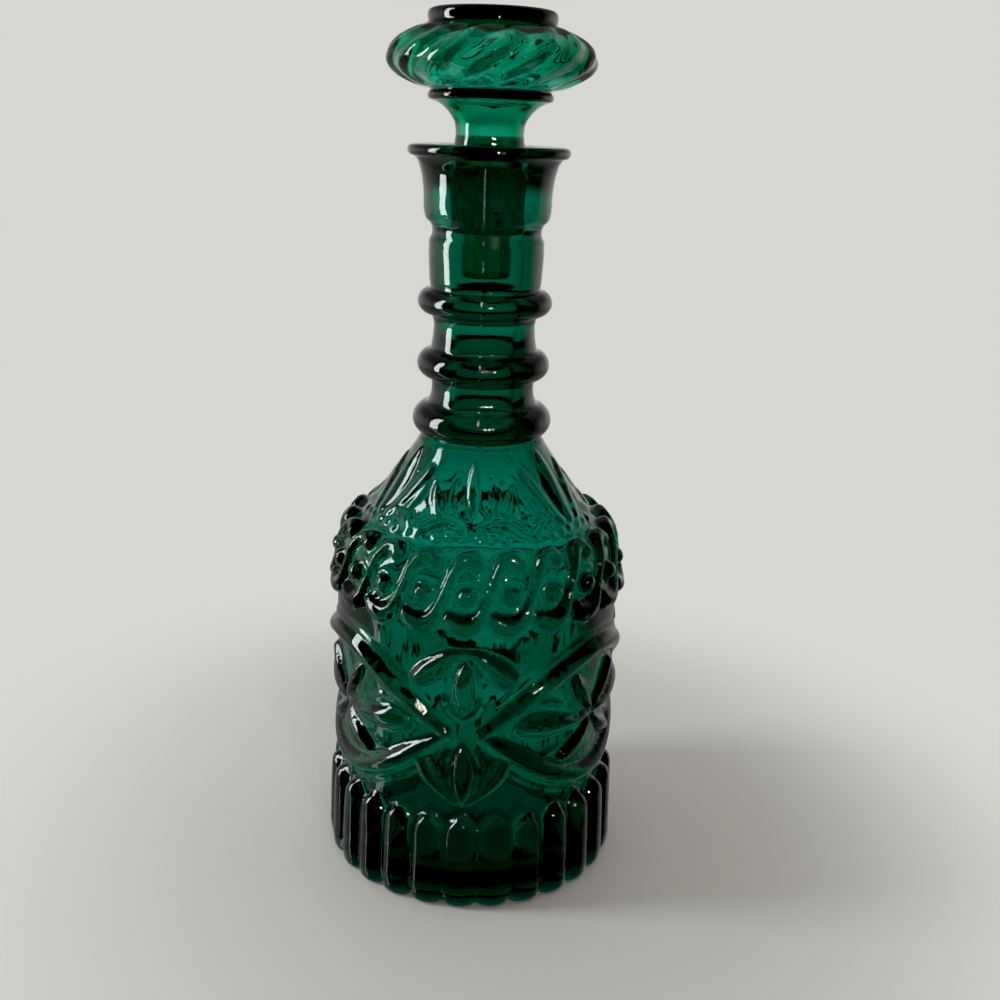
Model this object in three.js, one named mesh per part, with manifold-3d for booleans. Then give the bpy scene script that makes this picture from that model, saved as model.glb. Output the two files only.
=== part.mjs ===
// A tall pressed-glass bottle with a lift-out glass stopper that seals on a cork sleeve.
// Millimetres, +Z up. The origin is the centre of the foot, on the surface the bottle stands on.
// The pattern round the body repeats three times; one of its nodes faces -Y, the front.

import * as THREE from 'three';
import { mergeVertices } from 'three/addons/utils/BufferGeometryUtils.js';
import Module from 'manifold-3d';

const wasm = await Module();
wasm.setup();

// ---- driving dimensions -------------------------------------------------------------------

const TOTAL_HEIGHT = 260;
const LIP_TOP = 224;
const LIP_RADIUS = 23.6;

const FOOT_RADIUS = 41.5; // outer edge of the flat resting ring
const FOOT_RING_INNER = 35;
const PUSH_UP = 2.4; // depth of the shallow recess under the base
const REED_COUNT = 27;
const REED_RADIUS = 46.8;
const REED_GROOVE_RADIUS = 44.4;
const REED_TOP = 29.6;

const BODY_RADIUS = 43; // plain ground of the body between the raised ornament
const BODY_TOP = 113;
const RELIEF = 2.5; // how far the ornament stands out of the ground

const EYE_COUNT = 3;
const EYE_MIDDLE = 58; // height of the pointed corners of the eyes
const EYE_HALF_ANGLE = 54; // degrees
const EYE_RISE = 22;
const EYE_FALL = 20.5;
const EYE_RIDGE_HALF_WIDTH = 3.8;

const BEAD_COUNT = 21;
const BEAD_HEIGHT = 102;
const BEAD_RADIUS = 4.4;
const BAND_STEP = 1.8; // the rounded welts above and below the row of beads

const WALL = 4.6;
const FLOOR_THICKNESS = 10;
const MOUTH_RADIUS = 11.7; // bore at the lip
const NECK_BORE_RADIUS = 11; // bore just below the seated cork
const WAIST_BORE_RADIUS = 10.2;

const CORK_TOP = 219.5;
const CORK_BOTTOM = 199.5;
const CORK_CLEARANCE = 0.3;
const PEG_RADIUS = 7.4;
const PEG_BOTTOM = 187;

const CUSHION_RADIUS = 30;
const CUSHION_MIDDLE = 247;
const CUSHION_FLUTES = 15;
const CUSHION_TWIST = 46; // degrees a flute turns from the bottom of the cushion to its top
const FLUTE_DEPTH = 1.3;
const DISC_RADIUS = 18;
const STOPPER_WALL = 3.6;
const STOPPER_BORE_RADIUS = 4.6; // the stopper is hollow and open at the tip of its peg

const PLAIN_SEGMENTS = 36;
const BODY_SEGMENTS = 4 * BEAD_COUNT;
const REED_SEGMENTS = 4 * REED_COUNT;
const CUSHION_SEGMENTS = 4 * CUSHION_FLUTES;

// ---- materials ------------------------------------------------------------------------------

const greenGlass = new THREE.MeshStandardMaterial({
  color: 0x0a6b4c, roughness: 0.05, metalness: 0, transparent: true, opacity: 0.6,
});
const brightGlass = new THREE.MeshStandardMaterial({
  color: 0x0c8a66, roughness: 0.05, metalness: 0, transparent: true, opacity: 0.6,
});
const corkBrown = new THREE.MeshStandardMaterial({ color: 0x8a6a42, roughness: 0.9, metalness: 0 });

// ---- helpers --------------------------------------------------------------------------------

const radians = THREE.MathUtils.degToRad;
const degrees = THREE.MathUtils.radToDeg;

/** A round solid from [radius, height] pairs, with its axis along +Z and columns at whole steps. */
function turned(profile, segments) {
  const points = profile.map(([radius, height]) => new THREE.Vector2(radius, height));
  return new THREE.LatheGeometry(points, segments).rotateX(Math.PI / 2);
}

/** Moves each vertex of a turned solid outwards by relief(angle in degrees from -Y, height, radius). */
function raise(geometry, relief) {
  const position = geometry.attributes.position;
  for (let i = 0; i < position.count; i += 1) {
    const [x, y, z] = [position.getX(i), position.getY(i), position.getZ(i)];
    const radius = Math.hypot(x, y);
    if (radius < 1) continue;
    const scale = 1 + relief(degrees(Math.atan2(x, -y)), z, radius) / radius;
    position.setXY(i, x * scale, y * scale);
  }
  return geometry;
}

/** The manifold solid of a closed geometry. */
function solid(geometry) {
  const bare = geometry.clone();
  bare.deleteAttribute('normal');
  bare.deleteAttribute('uv');
  const merged = mergeVertices(bare, 1e-4);
  const corners = merged.index.array;
  const vertices = merged.attributes.position.array;
  const kept = [];
  for (let i = 0; i < corners.length; i += 3) {
    const [a, b, c] = corners.slice(i, i + 3);
    if (a !== b && b !== c && c !== a) kept.push(a, b, c);
  }
  return new wasm.Manifold(new wasm.Mesh({
    numProp: 3,
    vertProperties: new Float32Array(vertices),
    triVerts: new Uint32Array(kept),
  }));
}

/** The three.js geometry of a manifold solid. */
function geometryOf(body) {
  const mesh = body.getMesh();
  const geometry = new THREE.BufferGeometry();
  geometry.setAttribute('position', new THREE.BufferAttribute(mesh.vertProperties, 3));
  geometry.setIndex(new THREE.BufferAttribute(mesh.triVerts, 1));
  geometry.computeVertexNormals();
  return geometry;
}

/** A round-topped bump: 1 on its centre line, 0 at its half width and beyond. */
function dome(distance, halfWidth) {
  const part = distance / halfWidth;
  return part >= 1 ? 0 : Math.sqrt(1 - part * part);
}

/** The angle folded into one of count equal sectors, measured from that sector's centre. */
function fold(angle, count) {
  const pitch = 360 / count;
  return angle - pitch * Math.round(angle / pitch);
}

/** [radius, height] pairs of a half-round ring that stands out of a neck. */
function neckRing(neckRadius, ringRadius, middle, halfHeight) {
  return [-1, -0.75, -0.35, 0.05, 0.45, 0.8, 1].map((part) => [
    neckRadius + (ringRadius - neckRadius) * Math.sqrt(1 - part * part),
    middle + halfHeight * part,
  ]);
}

// ---- bottle: reeded foot --------------------------------------------------------------------

/** Convex upright reeds with rounded tops. */
function reedRelief(angle, height, radius) {
  const edge = radius * radians(180 / REED_COUNT);
  const across = Math.abs(radius * radians(fold(angle, REED_COUNT)));
  const arch = REED_TOP - 3.4 * (across / edge) ** 2;
  if (radius < FOOT_RADIUS - 0.1 || height > arch + 0.5) return 0;
  return (REED_RADIUS - REED_GROOVE_RADIUS) * dome(across, edge);
}

const reededFoot = raise(turned([
  [0, PUSH_UP],
  [FOOT_RING_INNER - 1.5, PUSH_UP],
  [FOOT_RING_INNER, 0],
  [FOOT_RADIUS, 0],
  [REED_GROOVE_RADIUS - 0.5, 3],
  [REED_GROOVE_RADIUS, 5.5],
  [REED_GROOVE_RADIUS, 22],
  [REED_GROOVE_RADIUS, 26],
  [REED_GROOVE_RADIUS - 0.2, 28.5],
  [REED_GROOVE_RADIUS - 0.9, 31],
  [BODY_RADIUS - 4, 31.6],
  [0, 31.6],
], REED_SEGMENTS), reedRelief);

// ---- bottle: ornamented body ----------------------------------------------------------------

/** Three pointed ovals whose corners meet at the nodes, each outlined by a round ridge. */
function eyeRelief(angle, height, radius) {
  const fromCentre = Math.abs(fold(angle - 180 / EYE_COUNT, EYE_COUNT));
  const open = Math.min(1, Math.max(0, 1 - fromCentre / EYE_HALF_ANGLE));
  const swell = Math.sin(open * Math.PI / 2);
  const reach = height > EYE_MIDDLE ? EYE_RISE : EYE_FALL;
  const slope = reach * (Math.PI / 2) * Math.cos(open * Math.PI / 2) / (radius * radians(EYE_HALF_ANGLE));
  const away = Math.abs(Math.abs(height - EYE_MIDDLE) - reach * swell) / Math.hypot(1, slope);
  const beyond = Math.max(0, radius * radians(fromCentre - EYE_HALF_ANGLE));
  return RELIEF * 1.15 * dome(Math.hypot(away, beyond), EYE_RIDGE_HALF_WIDTH);
}

/** A row of round beads that runs round the top of the body. */
function beadRelief(angle, height, radius) {
  const across = radius * radians(fold(angle, BEAD_COUNT));
  return RELIEF * dome(Math.hypot(across, height - BEAD_HEIGHT), BEAD_RADIUS);
}

const bodyRelief = (angle, height, radius) => Math.max(
  eyeRelief(angle, height, radius),
  beadRelief(angle, height, radius),
);

const bandFoot = BEAD_HEIGHT - 9;
const bandTop = BEAD_HEIGHT + 7.5;
const eyeHeights = [31, 34.5, 37.5, 41, 45, 49.5, 54, 58, 62, 66.5, 71, 75.5, 79.5, 83.5];
const beadHeights = [-3.6, -2.2, 0, 2.2, 3.6].map((offset) => BEAD_HEIGHT + offset);
const body = raise(turned([
  [0, 20],
  [BODY_RADIUS - 3, 20],
  [BODY_RADIUS, 27],
  ...eyeHeights.map((height) => [BODY_RADIUS, height]),
  [BODY_RADIUS, bandFoot - 5],
  [BODY_RADIUS + BAND_STEP, bandFoot],
  ...beadHeights.map((height) => [BODY_RADIUS, height]),
  [BODY_RADIUS + BAND_STEP, bandTop],
  [BODY_RADIUS - 1, bandTop + 2.2],
  [BODY_RADIUS - 5, BODY_TOP + 1.5],
  [0, BODY_TOP + 1.5],
], BODY_SEGMENTS), bodyRelief);

// ---- bottle: shoulder, ringed neck and flared mouth -----------------------------------------

const shoulderAndNeck = turned([
  [0, BODY_TOP - 6],
  [BODY_RADIUS - 3.2, BODY_TOP - 6],
  [BODY_RADIUS - 3.4, BODY_TOP - 1],
  [34.4, 118],
  [30, 123],
  [26, 128.5],
  [22.4, 133.2],
  [19.4, 137.2],
  ...neckRing(16.2, 21.2, 144, 5),
  [15.5, 153],
  ...neckRing(15.6, 20, 161, 4.4),
  [15.4, 170],
  ...neckRing(15.8, 20.1, 179.6, 4),
  [16.6, 186],
  [16.9, 196.6],
  [16.2, 198.6],
  [16.2, 201.8],
  [17.4, 203],
  [18.3, 204.6],
  [18.8, 211],
  [20.2, 218.6],
  [LIP_RADIUS - 1.6, 220.8],
  [LIP_RADIUS - 0.3, 221.6],
  [LIP_RADIUS, 222.6],
  [LIP_RADIUS - 0.4, 223.5],
  [LIP_RADIUS - 1.4, LIP_TOP],
  [0, LIP_TOP],
], PLAIN_SEGMENTS);

const cavity = turned([
  [0, FLOOR_THICKNESS],
  [BODY_RADIUS - WALL - 5, FLOOR_THICKNESS],
  [BODY_RADIUS - WALL - 1.5, FLOOR_THICKNESS + 1.5],
  [BODY_RADIUS - WALL, FLOOR_THICKNESS + 5],
  [BODY_RADIUS - WALL, 104],
  [BODY_RADIUS - WALL - 2, 109],
  [34, 112.2],
  [25.5, 121],
  [16.5, 132],
  [12, 138.5],
  [WAIST_BORE_RADIUS, 144],
  [WAIST_BORE_RADIUS, 178],
  [NECK_BORE_RADIUS - 0.2, 192],
  [NECK_BORE_RADIUS, 199],
  [MOUTH_RADIUS - 0.2, CORK_TOP],
  [MOUTH_RADIUS, LIP_TOP - 2],
  [MOUTH_RADIUS + 1, LIP_TOP + 1],
  [0, LIP_TOP + 1],
], PLAIN_SEGMENTS);

const bottle = new THREE.Mesh(
  geometryOf(solid(reededFoot).add(solid(body)).add(solid(shoulderAndNeck)).subtract(solid(cavity))),
  greenGlass,
);
bottle.name = 'bottle';

// ---- stopper: hollow swirled cushion between two discs, on a flared shank --------------------

/** Flutes that lean as they climb the cushion; they fade out at the two discs. */
function fluteRelief(angle, height, radius) {
  const reach = Math.max(0, (radius - DISC_RADIUS) / (CUSHION_RADIUS - DISC_RADIUS));
  const turn = CUSHION_TWIST * (height - CUSHION_MIDDLE) / 18;
  return -FLUTE_DEPTH * Math.min(1, 1.6 * reach) * Math.cos(radians(CUSHION_FLUTES * (angle - turn))) ** 2;
}

/** Radius of the cushion at a height, a flattened oval. */
function cushionRadius(height) {
  const part = (height - CUSHION_MIDDLE) / (height < CUSHION_MIDDLE ? 10.2 : 11.6);
  return CUSHION_RADIUS * Math.sqrt(1 - part * part);
}

const cushionHeights = [239.2, 240.3, 242, 244, 246, 248, 250, 252, 253.8, 255.2];
const cushion = raise(turned([
  [0, 237.4],
  [DISC_RADIUS - 2, 237.4],
  ...cushionHeights.map((height) => [cushionRadius(height), height]),
  [DISC_RADIUS - 2, 257.6],
  [0, 257.6],
], CUSHION_SEGMENTS), fluteRelief);

const shank = turned([
  [0, PEG_BOTTOM],
  [PEG_RADIUS - 1.2, PEG_BOTTOM],
  [PEG_RADIUS, PEG_BOTTOM + 1.4],
  [PEG_RADIUS, CORK_TOP + 0.6],
  [9.6, CORK_TOP + 0.7],
  [10.2, 223],
  [9.8, 227.5],
  [10.3, 230.4],
  [11.6, 232.4],
  [13.8, 234.6],
  [16.4, 235.9],
  [DISC_RADIUS - 0.3, 236.2],
  [DISC_RADIUS, 237.2],
  [DISC_RADIUS - 0.4, 238.4],
  [0, 238.4],
], PLAIN_SEGMENTS);

const topDisc = turned([
  [0, 256],
  [DISC_RADIUS, 256.4],
  [DISC_RADIUS + 0.2, 258.6],
  [DISC_RADIUS - 0.2, 259.5],
  [DISC_RADIUS - 1, TOTAL_HEIGHT],
  [0, TOTAL_HEIGHT],
], PLAIN_SEGMENTS);

const hollowHeights = [241.6, 244, 247, 250, 252.6];
const hollow = turned([
  [0, PEG_BOTTOM - 1],
  [STOPPER_BORE_RADIUS - 0.8, PEG_BOTTOM - 1],
  [STOPPER_BORE_RADIUS, PEG_BOTTOM + 3],
  [STOPPER_BORE_RADIUS, 227.5],
  [6.2, 231.5],
  [9.4, 234.5],
  [12.6, 237.6],
  [17.4, 239.8],
  ...hollowHeights.map((height) => [cushionRadius(height) - STOPPER_WALL, height]),
  [17, 254.2],
  [0, 254.9],
], PLAIN_SEGMENTS);

const stopper = new THREE.Mesh(
  geometryOf(solid(shank).add(solid(cushion)).add(solid(topDisc)).subtract(solid(hollow))),
  brightGlass,
);
stopper.name = 'glass_stopper';

// ---- cork sleeve on the stopper's peg --------------------------------------------------------

const corkBottomRadius = NECK_BORE_RADIUS - CORK_CLEARANCE;
const corkTopRadius = MOUTH_RADIUS - 0.2 - CORK_CLEARANCE;
const cork = new THREE.Mesh(turned([
  [PEG_RADIUS + CORK_CLEARANCE, CORK_BOTTOM],
  [corkBottomRadius - 0.8, CORK_BOTTOM],
  [corkBottomRadius, CORK_BOTTOM + 0.8],
  [corkTopRadius, CORK_TOP - 0.8],
  [corkTopRadius - 0.8, CORK_TOP],
  [PEG_RADIUS + CORK_CLEARANCE, CORK_TOP],
  [PEG_RADIUS + CORK_CLEARANCE, CORK_BOTTOM],
], PLAIN_SEGMENTS), corkBrown);
cork.name = 'stopper_cork';

const stopperGroup = new THREE.Group();
stopperGroup.add(stopper, cork);

const group = new THREE.Group();
group.add(bottle, stopperGroup);

export default group;
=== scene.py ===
"""A tall green pressed-glass bottle with a lift-out glass stopper that seals on a cork sleeve.

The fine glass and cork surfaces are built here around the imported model, then dressed and lit.
Shapes are worked out in millimetres, as a mould maker gives them, and become metres in the mesh.
Angles round the bottle are in degrees from its front, -Y, and grow towards +X.
"""

import logging
import math
from collections.abc import Mapping, Sequence
from dataclasses import dataclass, field
from enum import Enum
from typing import Any

import bpy
import numpy as np
from mathutils import Matrix, Vector


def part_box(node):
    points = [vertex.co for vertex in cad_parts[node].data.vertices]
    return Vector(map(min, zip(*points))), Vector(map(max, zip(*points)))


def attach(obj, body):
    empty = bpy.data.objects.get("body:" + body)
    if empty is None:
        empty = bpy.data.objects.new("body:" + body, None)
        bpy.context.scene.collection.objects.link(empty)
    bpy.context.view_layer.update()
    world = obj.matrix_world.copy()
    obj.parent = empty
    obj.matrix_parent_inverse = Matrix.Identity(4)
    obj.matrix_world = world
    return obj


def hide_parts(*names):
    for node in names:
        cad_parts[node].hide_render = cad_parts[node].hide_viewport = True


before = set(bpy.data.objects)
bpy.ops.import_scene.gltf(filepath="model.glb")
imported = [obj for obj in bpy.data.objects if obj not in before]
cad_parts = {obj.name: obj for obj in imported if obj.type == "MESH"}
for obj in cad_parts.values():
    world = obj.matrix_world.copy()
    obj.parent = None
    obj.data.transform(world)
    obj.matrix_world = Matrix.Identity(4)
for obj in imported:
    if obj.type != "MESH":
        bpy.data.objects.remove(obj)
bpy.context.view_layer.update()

Array = np.ndarray
Knot = tuple[float, float]
Span = tuple[float, float]
Colour = tuple[float, float, float]
Values = Mapping[str | int, Any] | None

MM = 0.001
SAMPLES_ROUND = 7201
WHITE = (1.0, 1.0, 1.0, 1.0)
BLACK = (0.0, 0.0, 0.0, 1.0)
DAYLIGHT: Colour = (0.92, 0.98, 1.0)
LAMPLIGHT: Colour = (1.0, 0.90, 0.78)
log = logging.getLogger("bottle")


# ---- lines and surfaces ---------------------------------------------------------------------------


def smooth_line(knots: Sequence[Sequence[float]], step: float) -> Array:
    """A smooth line through knots of any dimension.

    Each span is a cubic. Its slope at a knot is the mean of the two chords' slopes there, each
    weighted by the other chord's length, and the line leaves its two ends along their chords.

    Args:
        knots: The points that the line passes through.
        step: The wanted distance between neighbouring points.

    Returns:
        The line's points, one row each.
    """
    points = np.asarray(knots, float)
    chord = np.linalg.norm(np.diff(points, axis=0), axis=1)
    reach = np.concatenate([[0.0], np.cumsum(chord)])
    slope = np.diff(points, axis=0) / chord[:, None]
    before, after = chord[:-1, None], chord[1:, None]
    middle = (slope[:-1] * after + slope[1:] * before) / (before + after)
    ends = np.vstack([slope[:1], middle, slope[-1:]])
    where = np.linspace(0.0, reach[-1], max(2, round(reach[-1] / step) + 1))
    span = np.clip(np.searchsorted(reach, where, side="right") - 1, 0, len(chord) - 1)
    run = chord[span][:, None]
    t = (where - reach[span])[:, None] / run
    return (
        (2 * t**3 - 3 * t**2 + 1) * points[span]
        + (t**3 - 2 * t**2 + t) * run * ends[span]
        + (3 * t**2 - 2 * t**3) * points[span + 1]
        + (t**3 - t**2) * run * ends[span + 1]
    )


def joined(*stretches: Array) -> Array:
    """One outline from stretches that each start where the one before ends."""
    return np.vstack([stretches[0], *(stretch[1:] for stretch in stretches[1:])])


def half_round(neck: float, crest: float, middle: float, half_height: float) -> list[Knot]:
    """The outline of a ring: half an ellipse from below to above its middle.

    Args:
        neck: Radius at the ring's foot.
        crest: Radius at its crest.
        middle: Height of the crest.
        half_height: Height from the crest to either end.

    Returns:
        Knots of (radius, height).
    """
    # It stops just short of level at both ends, so that the neck's line can run into it.
    steepest, knots = 84, 9
    turn = np.radians(np.linspace(-steepest, steepest, knots))
    across = neck + (crest - neck) * np.cos(turn)
    return list(zip(across, middle + half_height * np.sin(turn)))


def dome(distance: Array, half_width: Array | float, power: float = 0.5) -> Array:
    """A rounded bump: (1 - (distance / half_width)²) to a power, 0 beyond the half width."""
    return np.clip(1 - (distance / half_width) ** 2, 0, None) ** power


def fold(angle: Array, count: int) -> Array:
    """The angle measured from the middle of the nearest of count equal sectors."""
    pitch = 360 / count
    return angle - pitch * np.round(angle / pitch)


def fade(value: Array, low: float, high: float) -> Array:
    """A smooth step: 0 at low, 1 at high, 3t² - 2t³ between them."""
    t = np.clip((value - low) / (high - low), 0, 1)
    return t * t * (3 - 2 * t)


def blended(*heights: Array) -> Array:
    """Overlapping reliefs run together: the fourth root of the sum of their fourth powers."""
    return sum(height**4 for height in heights) ** 0.25


def turned(
    outline: Array, angles: Array, outward: Array | None = None, leaning: Array | float = 1.0
) -> Array:
    """A surface turned about the bottle's axis.

    A point is (radius·sin angle, -radius·cos angle, height), where radius and height come from
    the outline after it has moved by the outward relief. It moves along its own normal where
    leaning is 1 and straight out from the axis where leaning is 0.

    Args:
        outline: Rows of (radius, height).
        angles: Degrees round the axis, one per column.
        outward: Relief in millimetres, one row per outline point and one column per angle.
        leaning: Share of the move that follows the normal, one number or one row per point.

    Returns:
        Points with shape (rows, columns, 3).
    """
    along = np.gradient(outline, axis=0)
    along /= np.linalg.norm(along, axis=1)[:, None]
    relief = np.zeros((len(outline), len(angles))) if outward is None else outward
    radius = outline[:, :1] + relief * (1 - leaning + leaning * along[:, 1:])
    height = outline[:, 1:] - relief * leaning * along[:, :1]
    turn = np.radians(angles)[None, :]
    return np.stack([radius * np.sin(turn), -radius * np.cos(turn), height], axis=-1)


def whole_turn(columns: int) -> Array:
    """Angles of equal columns round the axis, the first at the front."""
    return np.arange(columns) * 360 / columns


def gathered_turn(columns: int, middle: float, reach: float, gain: float) -> Array:
    """Angles of columns that stand closer together near two opposite lines.

    The columns are equal steps of the running sum of their density, which is 1 plus a dome about
    each line.

    Args:
        columns: How many there are.
        middle: Angle of the first line.
        reach: Degrees from a line within which the columns are gathered.
        gain: Density added on a line itself.

    Returns:
        Degrees round the axis.
    """
    angle = np.linspace(0.0, 360.0, SAMPLES_ROUND)
    density = 1 + gain * dome(fold(angle - middle, 2), reach, 1.0)
    total = np.concatenate([[0.0], np.cumsum((density[1:] + density[:-1]) / 2)])
    return np.interp(np.arange(columns) * total[-1] / columns, total, angle)


class Skin:
    """A closed skin grown ring by ring; the side on the left of each upward step faces out."""

    def __init__(self) -> None:
        """Starts an empty skin."""
        self.points: list[Array] = []
        self.quads: list[Array] = []
        self.triangles: list[Array] = []
        self.total = 0
        self.edge = np.empty(0, int)

    def _take(self, points: Array) -> Array:
        """Keeps points.

        Args:
            points: One row each.

        Returns:
            Their numbers in the skin.
        """
        numbers = self.total + np.arange(len(points))
        self.points.append(points)
        self.total += len(points)
        return numbers

    def _cells(self, low: Array, high: Array) -> None:
        """Adds the quads between rows of point numbers and the rows above them."""
        corners = [low, np.roll(low, -1, 1), np.roll(high, -1, 1), high]
        self.quads.append(np.stack(corners, axis=-1).reshape(-1, 4))

    def _bridge(self, edge: Array) -> None:
        """Joins the open edge to a new one with as many points, a third as many, or one.

        Args:
            edge: The point numbers of the new edge.
        """
        low, low_next = self.edge, np.roll(self.edge, -1)
        high, high_next = edge, np.roll(edge, -1)
        if len(high) == 1:
            self.triangles.append(np.column_stack([low, low_next, np.full(len(low), high[0])]))
        elif len(low) == 1:
            self.triangles.append(np.column_stack([np.full(len(high), low[0]), high_next, high]))
        elif len(low) == 3 * len(high):
            first, second, third, fourth = low[0::3], low[1::3], low[2::3], np.roll(low[0::3], -1)
            fans = [
                (first, second, high), (second, high_next, high),
                (second, third, high_next), (third, fourth, high_next),
            ]
            self.triangles.extend(np.column_stack(fan) for fan in fans)
        else:
            self._cells(low[None, :], high[None, :])

    def pole(self, height: float) -> "Skin":
        """Starts or closes the skin with a point on the axis.

        Args:
            height: The pole's height.

        Returns:
            The skin itself.
        """
        edge = self._take(np.array([[0.0, 0.0, height]]))
        if len(self.edge):
            self._bridge(edge)
        self.edge = edge
        return self

    def rings(self, surface: Array) -> "Skin":
        """Grows the skin by the rows of a turned surface.

        Args:
            surface: Points with shape (rows, columns, 3).

        Returns:
            The skin itself.
        """
        rows, columns = surface.shape[:2]
        numbers = self._take(surface.reshape(-1, 3)).reshape(rows, columns)
        self._bridge(numbers[0])
        self._cells(numbers[:-1], numbers[1:])
        self.edge = numbers[-1]
        return self

    def tube(self, surface: Array) -> "Skin":
        """Makes the skin of a ring-shaped solid whose section's last row meets its first.

        Args:
            surface: Points with shape (rows, columns, 3).

        Returns:
            The skin itself.
        """
        rows, columns = surface.shape[:2]
        numbers = self._take(surface.reshape(-1, 3)).reshape(rows, columns)
        self._cells(numbers, np.roll(numbers, -1, 0))
        return self

    def mesh(self, name: str) -> bpy.types.Mesh:
        """The skin as a smooth mesh in metres.

        Args:
            name: The mesh's name.

        Returns:
            The new mesh.
        """
        blocks = [block.tolist() for block in (*self.quads, *self.triangles)]
        faces = [face for block in blocks for face in block]
        mesh = bpy.data.meshes.new(name)
        mesh.from_pydata(np.vstack(self.points) * MM, [], faces)
        mesh.shade_smooth()
        mesh.validate()
        return mesh


# ---- shader expressions ---------------------------------------------------------------------------


class Signal:
    """A shader socket that can be used in a Python expression."""

    def __init__(self, graph: "Graph", socket: bpy.types.NodeSocket) -> None:
        """Wraps a socket of a graph."""
        self.graph = graph
        self.socket = socket

    def __add__(self, other: "Signal | float") -> "Signal":
        """The sum of two values."""
        return self.graph.maths("ADD", self, other)

    def __sub__(self, other: "Signal | float") -> "Signal":
        """This value less another."""
        return self.graph.maths("SUBTRACT", self, other)

    def __rsub__(self, other: float) -> "Signal":
        """A number less this value."""
        return self.graph.maths("SUBTRACT", other, self)

    def __mul__(self, other: "Signal | float") -> "Signal":
        """The product of two values."""
        return self.graph.maths("MULTIPLY", self, other)

    __radd__ = __add__
    __rmul__ = __mul__


class Graph:
    """A node tree that is written as expressions."""

    def __init__(self, tree: bpy.types.NodeTree) -> None:
        """Empties a node tree and takes it over."""
        self.tree = tree
        tree.nodes.clear()

    def node(self, kind: str, settings: Values = None, inputs: Values = None) -> bpy.types.Node:
        """Adds any node.

        Args:
            kind: The node's type without the ShaderNode prefix.
            settings: Attributes set first; stops holds a ramp's (position, colour) pairs.
            inputs: Values or signals for its sockets, by name or number.

        Returns:
            The new node.
        """
        node = self.tree.nodes.new("ShaderNode" + kind)
        for key, value in (settings or {}).items():
            if key == "stops":
                self._set_stops(node.color_ramp, value)
            else:
                setattr(node, key, value)
        for key, value in (inputs or {}).items():
            if isinstance(value, Signal):
                self.tree.links.new(value.socket, node.inputs[key])
            else:
                node.inputs[key].default_value = value
        return node

    @staticmethod
    def _set_stops(ramp: bpy.types.ColorRamp, stops: Sequence[tuple[float, Colour]]) -> None:
        """Gives a ramp its stops.

        Args:
            ramp: The ramp, which starts with two.
            stops: Positions from 0 to 1 with their colours.
        """
        for _ in range(len(stops) - len(ramp.elements)):
            ramp.elements.new(0.5)
        for element, (position, colour) in zip(ramp.elements, stops):
            element.position = position
            element.color = (*colour, 1.0)

    def signal(
        self, kind: str, settings: Values = None, inputs: Values = None, output: str | int = 0
    ) -> Signal:
        """Adds a node and returns one of its outputs; the arguments are those of node."""
        return Signal(self, self.node(kind, settings, inputs).outputs[output])

    def maths(self, operation: str, first: Signal | float, second: Signal | float) -> Signal:
        """Adds a Math node with two values."""
        return self.signal("Math", {"operation": operation}, {0: first, 1: second})

    def blend(self, share: Signal, first: Any, second: Any) -> Signal:
        """Mixes two colours by a share from 0 to 1."""
        return self.signal("Mix", {"data_type": "RGBA"}, {0: share, 6: first, 7: second}, 2)

    def stretch(self, value: Signal, span: Span, shape: str = "SMOOTHSTEP") -> Signal:
        """A value's step from 0 to 1 over a span, smooth unless the shape is LINEAR."""
        inputs = {"Value": value, "From Min": span[0], "From Max": span[1]}
        return self.signal("MapRange", {"interpolation_type": shape}, inputs)

    def noise(self, point: Signal, scale: float, detail: float, roughness: float = 0.5) -> Signal:
        """Soft cloudy noise about 0.5, with scale blotches to the metre."""
        inputs = {"Vector": point, "Scale": scale, "Detail": detail, "Roughness": roughness}
        return self.signal("TexNoise", {}, inputs)

    def place(self, scale: Sequence[float] = (1.0, 1.0, 1.0)) -> Signal:
        """The point on the piece in its own coordinates, stretched by a scale."""
        point = self.signal("TexCoord", output="Object")
        return self.signal("Mapping", {}, {"Vector": point, "Scale": scale})


def new_material(name: str) -> tuple[bpy.types.Material, Graph]:
    """A new material and its empty graph.

    Args:
        name: The material's name.

    Returns:
        The material and the graph of its nodes.
    """
    material = bpy.data.materials.new(name)
    material.use_nodes = True
    return material, Graph(material.node_tree)


# ---- finishes -------------------------------------------------------------------------------------


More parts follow.
